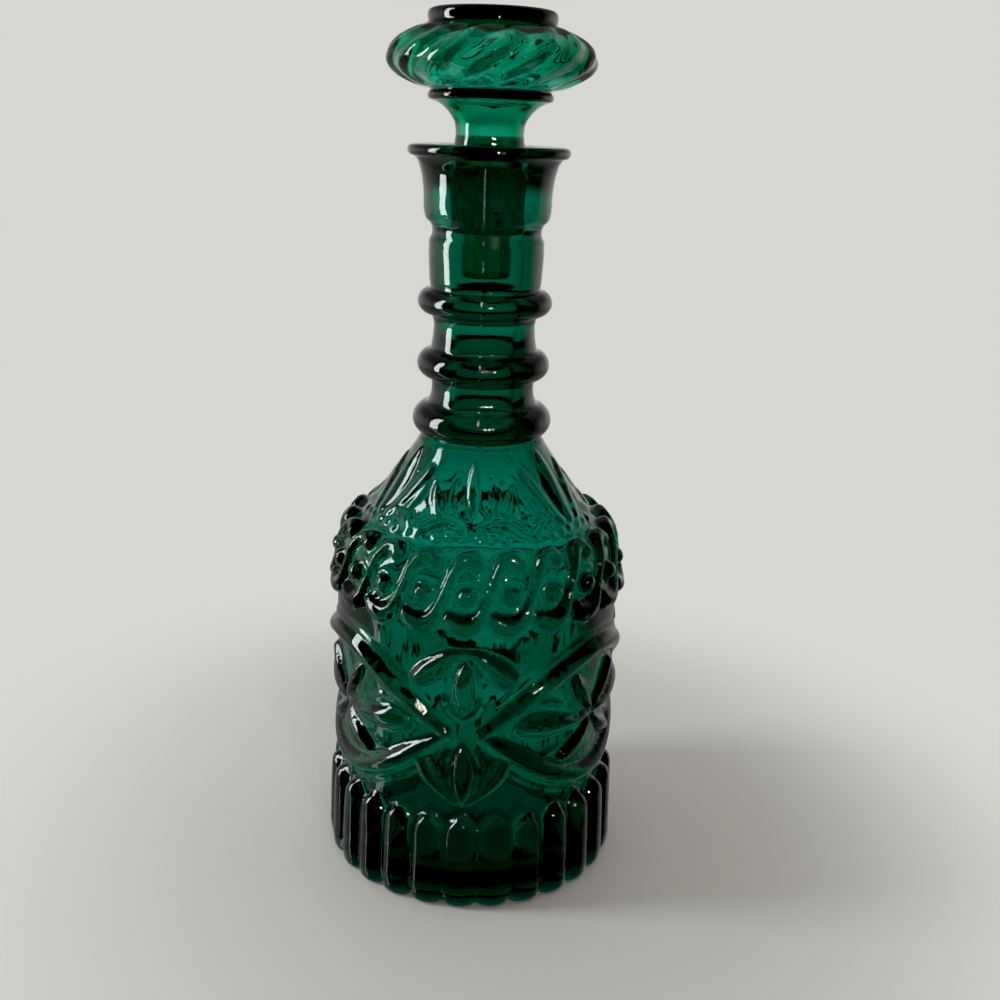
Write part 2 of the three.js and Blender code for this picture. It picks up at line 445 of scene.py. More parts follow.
@dataclass(frozen=True)
class GlassFinish:
    """Fire-polished coloured glass.

    Attributes:
        name: The material's name.
        soaked_up: Light lost per metre of glass, in red, green and blue.
        wave: Depth of the slow waves that the mould leaves, in metres.
        wave_scale: Waves per metre.
        cord_scale: Cords, the faint upright lines of uneven glass, per metre.
        cord_slowness: How fast a cord changes along itself, beside how fast it does across.
        cord_share: Its depth, beside the waves'.
        smear_scale: Smears per metre.
        smeared: Smear level where the haze starts and where it is full.
        film: Roughness where the surface is cleanest.
        haze: Roughness added where handling has left a haze.
        tint: Colour of the surface between the cords.
        refraction: Its index of refraction.
    """

    name: str
    soaked_up: Colour
    wave: float = 0.00026
    wave_scale: float = 60.0
    cord_scale: float = 260.0
    cord_slowness: float = 0.18
    cord_share: float = 0.45
    smear_scale: float = 38.0
    smeared: Span = (0.52, 0.75)
    film: float = 0.024
    haze: float = 0.05
    tint: Colour = (0.93, 1.0, 0.97)
    refraction: float = 1.52

    def material(self) -> bpy.types.Material:
        """Clear glass at the surface that soaks up light by its thickness.

        Returns:
            The new material.
        """
        material, graph = new_material(self.name)
        point = graph.place()
        slow = graph.noise(point, self.wave_scale, 2.0)
        cords = graph.noise(graph.place((1.0, 1.0, self.cord_slowness)), self.cord_scale, 2.0)
        smears = graph.noise(point, self.smear_scale, 5.0, 0.65)
        height = slow + self.cord_share * cords
        shape = graph.signal("Bump", {}, {"Strength": 1.0, "Distance": self.wave, "Height": height})
        hazy = graph.stretch(smears, self.smeared, "LINEAR")
        looks = {
            "Base Color": graph.blend(cords, (*self.tint, 1.0), WHITE),
            "Roughness": self.film + self.haze * hazy,
            "IOR": self.refraction,
            "Transmission Weight": 1.0,
            "Normal": shape,
        }
        surface = graph.signal("BsdfPrincipled", {}, looks)
        density = max(self.soaked_up)
        kept = tuple(1 - lost / density for lost in self.soaked_up)
        volume = graph.signal("VolumeAbsorption", {}, {"Color": (*kept, 1.0), "Density": density})
        graph.node("OutputMaterial", {}, {"Surface": surface, "Volume": volume})
        return material


@dataclass(frozen=True)
class CorkFinish:
    """Natural cork: packed grains of several browns with dark pits and seams between them.

    Attributes:
        name: The material's name.
        grain_scale: Grains per metre.
        grain_share: Share of the grain in the brown; the rest is the blotches'.
        browns: The brown's colours, each with its place from the darkest to the palest.
        seam: Distance from a seam where it is darkest and where it has gone, in grains.
        seam_light: Share of the brown that is left on a seam.
        pit_scale: Blotches per metre; the strongest of them are pits.
        pitted: Blotch level where a pit starts and where it is full.
        pit_share: Depth of a pit beside that of a seam and a blotch together.
        dark: Colour of the pits and of the seams' shade.
        relief: Depth of the pits and seams, in metres.
        roughness: Its roughness.
        pit_roughness: Roughness added in a pit.
    """

    name: str = "natural_cork"
    grain_scale: float = 620.0
    grain_share: float = 0.55
    browns: tuple[tuple[float, Colour], ...] = (
        (0.1, (0.30, 0.18, 0.09)), (0.5, (0.52, 0.34, 0.18)), (0.95, (0.68, 0.49, 0.29)),
    )
    seam: Span = (0.0, 0.09)
    seam_light: float = 0.55
    pit_scale: float = 240.0
    pitted: Span = (0.60, 0.68)
    pit_share: float = 1.2
    dark: Colour = (0.10, 0.05, 0.025)
    relief: float = 0.0004
    roughness: float = 0.72
    pit_roughness: float = 0.2

    def material(self) -> bpy.types.Material:
        """Grains, seams between them and scattered pits.

        Returns:
            The new material.
        """
        material, graph = new_material(self.name)
        point = graph.place()
        grains = {"Vector": point, "Scale": self.grain_scale}
        grain = graph.signal("TexVoronoi", {}, grains, "Color")
        gap = graph.signal("TexVoronoi", {"feature": "DISTANCE_TO_EDGE"}, grains)
        blotch = graph.noise(point, self.pit_scale, 6.0)
        tone = graph.signal("RGBToBW", {}, {"Color": grain})
        shade = self.grain_share * tone + (1 - self.grain_share) * blotch
        brown = graph.signal("ValToRGB", {"stops": self.browns}, {"Fac": shade})
        pits = graph.stretch(blotch, self.pitted, "LINEAR")
        edges = graph.stretch(gap, self.seam, "LINEAR")
        dark = (*self.dark, 1.0)
        seamed = graph.blend(self.seam_light + (1 - self.seam_light) * edges, dark, brown)
        height = 0.5 * edges + 0.5 * blotch - self.pit_share * pits
        shape = graph.signal("Bump", {}, {"Strength": 0.7, "Distance": self.relief, "Height": height})
        looks = {
            "Base Color": graph.blend(pits, seamed, dark),
            "Roughness": self.roughness + self.pit_roughness * pits,
            "Normal": shape,
        }
        graph.node("OutputMaterial", {}, {"Surface": graph.signal("BsdfPrincipled", {}, looks)})
        return material


@dataclass(frozen=True)
class FloorFinish:
    """A plain pale satin floor that melts into its surroundings, with a painted glow that only rays through
    the glass see.

    Attributes:
        name: The material's name.
        colour: Its colour.
        mottle: Its darkest patches' share of that colour.
        mottle_scale: Patches per metre.
        painted_glow: Painted light that the floor gives off to rays that come through the glass, in place of
            light that the glass lets onto it.
        uncovered: Metres from the middle where the painted glow starts and where it is full; under the
            bottle, where it shades the floor, there is none.
        roughness: Its roughness.
        fading: Metres from the middle where it starts to fade and where it has gone.
    """

    name: str = "pale_floor"
    colour: Colour = (0.62, 0.605, 0.58)
    mottle: float = 0.96
    mottle_scale: float = 9.0
    painted_glow: Colour = (0.24, 0.23, 0.21)
    uncovered: Span = (0.004, 0.058)
    roughness: float = 0.6
    fading: Span = (0.075, 0.24)

    def material(self) -> bpy.types.Material:
        """An even surface with a very faint mottle, and a painted glow for rays that come through the glass.

        Returns:
            The new material.
        """
        material, graph = new_material(self.name)
        patches = graph.noise(graph.place(), self.mottle_scale, 3.0)
        darker = tuple(self.mottle * part for part in self.colour)
        # Painted light: rays through the glass see the floor glow, standing in for light the glass lets onto
        # it; under the bottle, where it shades the floor, the glow is left out.
        through = graph.signal("LightPath", output="Is Transmission Ray")
        away = graph.signal("VectorMath", {"operation": "LENGTH"}, {0: graph.place()}, "Value")
        lit = through * graph.stretch(away, self.uncovered, "LINEAR")
        looks = {
            "Base Color": graph.blend(patches, (*darker, 1.0), (*self.colour, 1.0)),
            "Roughness": self.roughness,
            "Alpha": 1.0 - graph.stretch(away, self.fading, "SMOOTHERSTEP"),
            "Emission Color": graph.blend(lit, BLACK, (*self.painted_glow, 1.0)),
            "Emission Strength": 1.0,
        }
        graph.node("OutputMaterial", {}, {"Surface": graph.signal("BsdfPrincipled", {}, looks)})
        return material


# ---- pieces ---------------------------------------------------------------------------------------


class Slot(Enum):
    """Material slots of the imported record."""

    BOTTLE_GLASS = "green_glass"
    STOPPER_GLASS = "stopper_glass"
    CORK = "cork"


class Body(Enum):
    """Bodies that move as one."""

    BOTTLE = "bottle"
    STOPPER = "stopper"


def fit_piece(mesh: bpy.types.Mesh, finish: bpy.types.Material, node: str, body: Body) -> None:
    """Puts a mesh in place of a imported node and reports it.

    Args:
        mesh: The finished mesh.
        finish: Its material.
        node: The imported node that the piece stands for; the piece is named after it.
        body: The body that it moves with.
    """
    piece = bpy.data.objects.new("fine_" + node, mesh)
    mesh.materials.append(finish)
    bpy.context.collection.objects.link(piece)
    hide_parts(node)
    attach(piece, body.value)
    log.info("%s: %d faces on body %s", piece.name, len(mesh.polygons), body.value)


def height_of(node: str, corner: int) -> float:
    """The lowest (0) or highest (1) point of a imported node, in millimetres."""
    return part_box(node)[corner][2] / MM


@dataclass(frozen=True)
class Wall:
    """The side of the bottle, unrolled flat by distance along its outline.

    Attributes:
        outline: Rows of (radius, height), rising all the way.
    """

    outline: Array

    def unroll(self, angle: Array, height: Array) -> tuple[Array, Array]:
        """Millimetres round and along the wall.

        Round is the wall's radius at that height times the angle; along is the distance along
        the outline, equal to the height at the foot.

        Args:
            angle: Degrees.
            height: Millimetres.

        Returns:
            The two coordinates.
        """
        steps = np.linalg.norm(np.diff(self.outline, axis=0), axis=1)
        along = self.outline[0, 1] + np.concatenate([[0.0], np.cumsum(steps)])
        radius = np.interp(height, self.outline[:, 1], self.outline[:, 0])
        return radius * np.radians(angle), np.interp(height, self.outline[:, 1], along)


@dataclass(frozen=True)
class Stroke:
    """A raised line of changing width on the side of the glass.

    Attributes:
        knots: (degrees, height) points of its centre line.
        widths: Half its width at each knot, in millimetres.
        rise: How far its widest part stands out, in millimetres.
        power: 0.5 is half-round; more gives a softer foot.
        segments: Straight pieces that the line is cut into.
        narrowest: The least half width, in millimetres.
    """

    knots: tuple[Knot, ...]
    widths: tuple[float, ...]
    rise: float
    power: float = 0.6
    segments: int = 12
    narrowest: float = 0.05

    def relief(self, angle: Array, height: Array, wall: Wall) -> Array:
        """Its height over every point of the wall.

        The line is cut into short segments. Over each one the relief is a dome across the line,
        as wide as the line is there, and as high as the rise times the root of that width over
        the widest. The largest over all the segments counts.

        Args:
            angle: Degrees from the line's own axis, for each point.
            height: Height of each point.
            wall: The wall that unrolls angles and heights into millimetres.

        Returns:
            Relief in millimetres for each point.
        """
        knots = np.array([(*knot, width) for knot, width in zip(self.knots, self.widths)])
        length = float(np.linalg.norm(np.diff(knots, axis=0), axis=1).sum())
        centre = smooth_line(knots, length / self.segments)
        line_x, line_y = wall.unroll(centre[:, 0], centre[:, 1])
        width = np.clip(centre[:, 2], self.narrowest, None)
        x, y = wall.unroll(angle, height)
        widest = max(self.widths)
        found = np.zeros(np.broadcast(x, y).shape)
        for i in range(len(width) - 1):
            run_x, run_y = line_x[i + 1] - line_x[i], line_y[i + 1] - line_y[i]
            square = run_x**2 + run_y**2
            share = np.clip(((x - line_x[i]) * run_x + (y - line_y[i]) * run_y) / square, 0, 1)
            away = np.hypot(x - line_x[i] - share * run_x, y - line_y[i] - share * run_y)
            here = width[i] + (width[i + 1] - width[i]) * share
            found = np.maximum(found, (here / widest) ** 0.5 * dome(away, here, self.power))
        return self.rise * found


def reliefs(strokes: Sequence[Stroke], angle: Array, height: Array, wall: Wall) -> list[Array]:
    """The relief of each stroke over the same points of the wall."""
    return [stroke.relief(angle, height, wall) for stroke in strokes]


@dataclass(frozen=True)
class Reeds:
    """Upright convex reeds with arched tops, round the foot.

    Attributes:
        count: How many there are.
        rise: How far they stand out at their feet.
        lift: How much further they stand out at their tops.
        lifting: Heights between which that is added.
        top: Height of an arch's crown.
        arch: How much lower the arch meets the grooves.
        cap: Height over which a reed rounds over under its arch.
    """

    count: int = 27
    rise: float = 2.9
    lift: float = 0.6
    lifting: Span = (8.0, 28.0)
    top: float = 30.6
    arch: float = 4.2
    cap: float = 3.6

    def relief(self, angle: Array, height: Array, wall: Wall) -> Array:
        """A dome across each reed that closes in a rounded cap under an arch.

        The share is the distance from a reed's middle over half its width. The arch is a
        parabola of the share, and the cap is a quarter ellipse that ends on it.

        Args:
            angle: Degrees from the front.
            height: Height of each point.
            wall: The wall they stand on; not used.

        Returns:
            Relief in millimetres.
        """
        share = np.abs(fold(angle, self.count)) / (180 / self.count)
        closing = self.top - self.arch * share**2 - height
        cap = dome(np.clip(self.cap - closing, 0, None), self.cap)
        return (self.rise + self.lift * fade(height, *self.lifting)) * dome(share, 1.0) * cap


@dataclass(frozen=True)
class Eyes:
    """Pointed ovals that meet at the nodes, each outlined by a double ridge and filled with petals.

    Attributes:
        count: How many there are.
        middle: Height of their corners.
        half_angle: Degrees from an eye's middle to either corner.
        swell: Height from the corners to the top edge.
        sag: Height from the corners to the bottom edge.
        ridge: Half the width of the outline ridge.
        tip_share: What is left of that width at the corners.
        tip_reach: Share of the way in from a corner where the ridge has its full width.
        rise: How far the ridge stands out.
        ridge_power: 0.5 is half-round; more gives a softer foot.
        welt_offset: Distance from the ridge's crest to the low welt outside it.
        welt_half_width: Half the welt's width.
        welt_rise: How far it stands out.
        welt_fading: Shares of the way in from a corner where it starts and where it is full.
        petals: One half of the spray inside, from the corner to the middle.
    """

    count: int = 3
    middle: float = 58.0
    half_angle: float = 53.2
    swell: float = 22.0
    sag: float = 20.5
    ridge: float = 3.7
    tip_share: float = 0.42
    tip_reach: float = 0.35
    rise: float = 2.6
    ridge_power: float = 0.8
    welt_offset: float = 4.6
    welt_half_width: float = 1.3
    welt_rise: float = 0.5
    welt_fading: Span = (0.08, 0.3)
    petals: tuple[Stroke, ...] = (
        Stroke(
            ((2.5, 57.4), (12, 57.6), (22, 58.6), (30, 59.6), (35.5, 60.2)), (0.7, 1.7, 3.2, 4.1, 3.4), 2.6
        ),
        Stroke(((2, 55), (7, 51.6), (12, 48.8), (16.5, 46.8)), (0.6, 1.7, 2.7, 2.3), 2.3),
        Stroke(((1, 58.6), (5, 63), (9, 67.4), (12.4, 71)), (0.6, 1.5, 2.2, 1.8), 2.1),
        Stroke(((19, 64.4), (25, 66.6), (32, 66.4), (38, 63.6)), (0.5, 0.9, 0.9, 0.5), 0.8),
        Stroke(((20, 50.6), (27, 48.8), (35, 50.2), (42, 54.2)), (0.5, 0.9, 0.9, 0.5), 0.8),
    )

    def relief(self, angle: Array, height: Array, wall: Wall) -> Array:
        """The outline ridge, a low welt outside it, and the petals on both sides of the middle.

        The oval's upper and lower edges are quarter sines of the angle from its corner; the
        distance to an edge is its height difference divided by the length of the edge's slope.

        Args:
            angle: Degrees from the front, where two ovals meet.
            height: Height of each point.
            wall: The wall they stand on.

        Returns:
            Relief in millimetres.
        """
        side = np.abs(fold(angle - 180 / self.count, self.count))
        open_share = np.clip(1 - side / self.half_angle, 0, 1)
        reach = np.where(height > self.middle, self.swell, self.sag)
        radius, _ = wall.unroll(np.degrees(1.0), height)
        slope = reach * (np.pi / 2) * np.cos(open_share * np.pi / 2) / (radius * np.radians(self.half_angle))
        gap = np.abs(height - self.middle) - reach * np.sin(open_share * np.pi / 2)
        gap = gap / np.hypot(1, slope)
        beyond = np.clip(radius * np.radians(side - self.half_angle), 0, None)
        spread = self.tip_share + (1 - self.tip_share) * fade(open_share, 0.0, self.tip_reach)
        ridge = self.rise * spread**0.5 * dome(np.hypot(gap, beyond), self.ridge * spread, self.ridge_power)
        welt = self.welt_rise * dome(np.abs(gap - self.welt_offset), self.welt_half_width, 1.0)
        welt = welt * fade(open_share, *self.welt_fading)
        return blended(ridge, welt, *reliefs(self.petals, side, height, wall))


@dataclass(frozen=True)
class NodeSprays:
    """Sprays of petals above and below each node, between two eyes."""

    count: int = 3
    petals: tuple[Stroke, ...] = (
        Stroke(((0, 65.6), (0, 69), (0, 73.4), (0, 78), (0, 81.6)), (0.6, 2.5, 3.3, 2.5, 0.5), 2.6),
        Stroke(((0, 85), (4, 84.6), (9, 82.2), (13.5, 78.8), (17.2, 76.2)), (0.7, 1.2, 2.1, 3.3, 2.8), 2.7),
        Stroke(((0, 63.4), (4.4, 65.4), (6.6, 70), (6.6, 75), (4, 81)), (0.7, 0.8, 0.8, 0.8, 0.5), 0.7),
        Stroke(((0, 34.4), (0, 38.6), (0, 44.4), (0, 50), (0, 54.6)), (0.6, 2.5, 3.4, 2.5, 0.5), 2.6),
        Stroke(((15.8, 47.8), (13.6, 44), (9.5, 39.6), (2.4, 34.8)), (2.3, 2.5, 1.5, 0.6), 2.4),
        Stroke(((5.6, 52), (7.6, 47), (6.4, 41.6), (3.4, 38)), (0.6, 0.8, 0.8, 0.5), 0.7),
    )

    def relief(self, angle: Array, height: Array, wall: Wall) -> Array:
        """The petals, mirrored about each node.

        Args:
            angle: Degrees from the front node.
            height: Height of each point.
            wall: The wall they stand on.

        Returns:
            Relief in millimetres.
        """
        return blended(*reliefs(self.petals, np.abs(fold(angle, self.count)), height, wall))


@dataclass(frozen=True)
class ScrollBand:
    """A running scroll round the top of the body, with a bead in the bow of each scroll.

    Attributes:
        count: How many scrolls there are.
        bead_height: Height of the beads.
        bead_radius: A bead's radius.
        bead_rise: How far it stands out.
        ring_radius: Radius of the low ring about it.
        ring_half_width: Half the ring's width.
        ring_rise: How far the ring stands out.
        scroll: One scroll, which also reaches past the next bead.
    """

    count: int = 21
    bead_height: float = 102.0
    bead_radius: float = 3.0
    bead_rise: float = 3.0
    ring_radius: float = 4.9
    ring_half_width: float = 0.9
    ring_rise: float = 0.22
    scroll: Stroke = Stroke(
        (
            (-6.2, 95.4), (-3.0, 93.6), (1.0, 93.4), (4.4, 95.4), (6.6, 99.2),
            (9.3, 104.4), (11.8, 108.8), (14.2, 111.0), (17.4, 111.8), (21.0, 110.4),
        ),
        (2.1, 3.0, 3.0, 2.2, 1.4, 1.25, 1.4, 2.3, 2.7, 1.8),
        3.1,
        0.5,
    )

    def relief(self, angle: Array, height: Array, wall: Wall) -> Array:
        """Half-round scrolls, half-round beads and a low ring about each bead.

        Args:
            angle: Degrees from a bead.
            height: Height of each point.
            wall: The wall they stand on.

        Returns:
            Relief in millimetres.
        """
        side = fold(angle, self.count)
        pitch = 360 / self.count
        x, y = wall.unroll(side, height)
        _, bead_y = wall.unroll(0.0, self.bead_height)
        away = np.hypot(x, y - bead_y)
        bead = self.bead_rise * dome(away, self.bead_radius)
        ring = self.ring_rise * dome(np.abs(away - self.ring_radius), self.ring_half_width, 1.0)
        scrolls = [self.scroll.relief(side + turn, height, wall) for turn in (0.0, pitch)]
        return blended(bead, ring, *scrolls)


@dataclass(frozen=True)
class Palmettes:
    """Spreading leaves on the shoulder, large over the eyes and small over the nodes.

    Attributes:
        count: How many there are.
        broad_leaves: The wide soft leaves of those over an eye, one half.
        petals: The narrow leaves of them all, one half.
        beads: Places of the small beads at their feet, one half.
        bead_radius: Such a bead's radius.
        bead_rise: How far it stands out.
        bead_power: 0.5 is half-round; more gives a softer foot.
    """

    count: int = 6
    broad_leaves: tuple[Stroke, ...] = (
        Stroke(((0, 118.5), (0, 123), (0, 129), (0, 135.5)), (2.2, 4.6, 4.2, 1.6), 1.15, 1.0),
        Stroke(((7, 118), (13, 122.6), (19, 127.6), (24, 132)), (1.4, 3.0, 3.2, 1.4), 0.95, 1.0),
    )
    petals: tuple[Stroke, ...] = (
        Stroke(((0, 121.5), (0, 124.5), (0, 128.4), (0, 132), (0, 135)), (0.6, 1.7, 2.1, 1.7, 0.6), 1.0, 0.8),
        Stroke(((26, 128), (23.5, 125.4), (20.4, 122.4), (17.2, 119.6)), (1.2, 2.2, 2.2, 1.0), 0.6, 1.0),
        Stroke(((11, 131), (13, 127.6), (12.6, 124), (9.6, 121.2)), (0.8, 1.2, 1.2, 0.8), 0.2, 1.0),
        Stroke(((4, 118.6), (12, 120), (20, 119.4), (27.5, 116.6)), (0.8, 1.6, 2.2, 1.9), 0.7, 1.0),
    )
    beads: tuple[Knot, ...] = ((4.2, 116.4), (10.4, 116.2), (17.0, 115.6))
    bead_radius: float = 1.3
    bead_rise: float = 0.6
    bead_power: float = 0.7

    def relief(self, angle: Array, height: Array, wall: Wall) -> Array:
        """Leaves and small beads, mirrored about each palmette.

        Args:
            angle: Degrees from a palmette.
            height: Height of each point.
            wall: The wall they stand on.

        Returns:
            Relief in millimetres.
        """
        side = np.abs(fold(angle, self.count))
        over_eye = np.abs(fold(angle, self.count // 2)) > 180 / self.count
        x, y = wall.unroll(side, height)
        beads = []
        for turn, level in self.beads:
            bead_x, bead_y = wall.unroll(turn, level)
            away = np.hypot(x - bead_x, y - bead_y)
            beads.append(dome(away, self.bead_radius, self.bead_power))
        broad = blended(*reliefs(self.broad_leaves, side, height, wall))
        leaves = blended(*reliefs(self.petals, side, height, wall), over_eye * broad)
        return leaves + self.bead_rise * blended(*beads)


@dataclass
class Bottle:
    """The pressed-glass bottle: reeded foot, ornamented body, ringed neck and flared mouth.

    Attributes:
        finish: The glass.
        lip_top: Height of the mouth's lip.
        neck_columns: Columns round the neck; the body has three times as many.
        foot_radius: Radius of the foot where it meets the floor.
        foot_ring_inner: Inside radius of the ring that the bottle stands on.
        push_up: Height of the middle of the recess under the foot.
        reed_groove: Radius of the grooves between the reeds.
        reed_join: Heights between which the relief's push turns from straight out to square.
        body_radius: Radius of the plain body.
        body_start: Height where the plain body starts.
        body_end: Height where the shoulder starts.
        neck_start: Height where the neck starts.
        neck_foot: Its radius there.
        neck_rings: Foot radius, crest radius, height and half height of each ring.
        mouth: Radius of the mouth under its lip.
        bore: Radius of the neck's inside at its narrowest.
        cavity_radius: Radius of the body's inside.
        floor_height: Height of the inside's floor.
        seam_angle: Degrees from the front to the first mould seam.
        seam_rise: How far a seam stands out.
        seam_half_width: Half its width.
        seam_fading: Depths under the lip's top where it starts to fade and where it has gone.
        seam_reach: Degrees from a seam within which the columns are gathered.
        seam_gain: How much denser they stand on the seam itself.
    """

    finish: GlassFinish
    lip_top: float = field(default_factory=lambda: height_of("bottle", 1))
    neck_columns: int = 120
    foot_radius: float = 42.4
    foot_ring_inner: float = 35.0
    push_up: float = 2.7
    reed_groove: float = 44.4
    reed_join: Span = (26.0, 34.0)
    body_radius: float = 42.9
    body_start: float = 33.5
    body_end: float = 104.0
    neck_start: float = 138.0
    neck_foot: float = 18.9
    neck_rings: tuple[tuple[float, float, float, float], ...] = (
        (16.2, 21.2, 144.0, 4.9), (15.6, 20.0, 161.0, 4.3), (15.8, 20.1, 179.6, 3.9),
    )
    mouth: float = 11.8
    bore: float = 10.2
    cavity_radius: float = 38.4
    floor_height: float = 7.0
    seam_angle: float = 2.5
    seam_rise: float = 0.5
    seam_half_width: float = 0.8
    seam_fading: Span = (5.0, 2.0)
    seam_reach: float = 4.0
    seam_gain: float = 4.0

    def underside(self) -> Array:
        """Outline of the recess under the foot and of the ring round it, from the middle out.

        Returns:
            Rows of (radius, height).
        """
        inner, level = self.foot_ring_inner, self.push_up
        recess = smooth_line([(8, level), (24, level - 0.3), (inner - 2, level - 0.5)], step=6)
        ring = [(inner - 0.8, 0.9), (inner, 0.25), (inner + 1, 0.0), (self.foot_radius - 1.8, 0.0)]
        return np.vstack([recess, ring])

    def side(self) -> Array:
        """Outline of the ornamented wall, from the resting ring to the foot of the neck.

        Returns:
            Rows of (radius, height).
        """
        groove, body, start = self.reed_groove, self.body_radius, self.body_start
        foot = [
            (self.foot_radius, 0.0), (groove - 0.6, 0.9), (groove, 3.4), (groove, 10),
            (groove - 0.4, 17), (groove - 0.9, 23), (body + 0.2, 28), (body, start),
        ]
        wall = [
            (body, start), (body, self.body_end), (body - 0.5, 107.4), (body - 1.9, 109.8),
            (body - 4.1, 111.8), (36.0, 114.2), (33.4, 117.4), (29.4, 122), (25.6, 127.6),
            (22.2, 132.8), (19.6, 136.8), (self.neck_foot, self.neck_start),
        ]
        return joined(smooth_line(foot, step=0.85), smooth_line(wall, step=0.745))

    def neck(self) -> Array:
        """Outline of the three rings, the plain collar, the cup and the lip, up to its top.

        Returns:
            Rows of (radius, height).
        """
        top = self.lip_top
        lowest, middle, highest = (half_round(*ring) for ring in self.neck_rings)
        cup_edge = (20.4, 219.2)
        rings = [
            (self.neck_foot, self.neck_start), *lowest, (16.1, 150.2), (15.5, 153.2), (15.6, 155.6),
            *middle, (15.8, 166.6), (15.3, 170), (15.5, 174.4), *highest, (16.5, 184.6),
            (16.8, 188.5), (17.0, 195.6), (16.9, 197.4), (16.2, 198.8), (16.1, 200.6),
            (16.7, 202.2), (18.0, 203.4), (18.5, 205), (18.8, 211), (19.6, 216.4), cup_edge,
        ]
        lip = [
            cup_edge, (21.6, top - 3.4), (23.0, top - 2.9), (23.6, top - 1.7), (23.2, top - 0.5),
            (22.0, top), (18.0, top - 0.1), (14.0, top - 0.1), (12.5, top - 0.5),
            (self.mouth, top - 1.6),
        ]
        return joined(smooth_line(rings, step=0.95), smooth_line(lip, step=0.6))

    def cavity(self) -> Array:
        """Outline of the inside, from the mouth down to the middle of the floor.

        Returns:
            Rows of (radius, height).
        """
        wide, level = self.cavity_radius, self.floor_height
        knots = [
            (self.mouth, self.lip_top - 1.6), (12.0, 219.4), (13.2, 216.6), (13.8, 212), (13.6, 206.5),
            (12.4, 202.6), (11.2, 200.4), (11.0, 198.6), (10.8, 192), (self.bore, 178),
            (self.bore, 144), (12, 138.5), (16.5, 132), (25.5, 121), (34, 112.2), (wide - 2, 109),
            (wide, 104), (wide, 80), (wide, 40), (wide, 14), (wide - 1.5, 9.4), (wide - 5, 7.7),
            (24, level + 0.2), (6, level),
        ]
        return smooth_line(knots, step=3.4)

    def ornament(self, outline: Array, angles: Array) -> Array:
        """Relief of the reeds, eyes, sprays, scroll band and palmettes over the side wall.

        Args:
            outline: The side wall's outline.
            angles: Degrees, one per column.

        Returns:
            Relief in millimetres, one row per outline point.
        """
        wall = Wall(outline)
        angle = np.broadcast_to(angles[None, :], (len(outline), len(angles)))
        height = np.broadcast_to(outline[:, 1:], angle.shape)
        parts = (Reeds(), Eyes(), NodeSprays(), ScrollBand(), Palmettes())
        return blended(*(part.relief(angle, height, wall) for part in parts))

    def seams(self, outline: Array, angles: Array) -> Array:
        """Relief of the two mould seams up the neck, fading out on the lip.

        A seam's section is a parabola of the distance round the neck from its middle.

        Args:
            outline: The neck's outline.
            angles: Degrees, one per column.

        Returns:
            Relief in millimetres.
        """
        away = np.radians(fold(angles - self.seam_angle, 2))[None, :] * outline[:, :1]
        start, end = (self.lip_top - depth for depth in self.seam_fading)
        fading = 1 - fade(outline[:, 1:], start, end)
        return self.seam_rise * dome(away, self.seam_half_width, 1.0) * fading

    def mesh(self) -> bpy.types.Mesh:
        """One closed skin: underside, ornamented wall, neck, lip and the whole inside.

        Returns:
            The new mesh.
        """
        fine = gathered_turn(3 * self.neck_columns, self.seam_angle, self.seam_reach, self.seam_gain)
        plain = fine[::3]
        side, neck, cavity = self.side(), self.neck()[1:], self.cavity()[1:]
        leaning = fade(side[:, 1:], *self.reed_join)
        skin = Skin().pole(self.push_up).rings(turned(self.underside(), fine))
        skin.rings(turned(side, fine, self.ornament(side, fine), leaning))
        skin.rings(turned(neck, plain, self.seams(neck, plain)))
        skin.rings(turned(cavity, plain)).pole(self.floor_height)
        return skin.mesh("fine_bottle")

    def build(self) -> None:
        """Makes and dresses the bottle."""
        fit_piece(self.mesh(), self.finish.material(), "bottle", Body.BOTTLE)


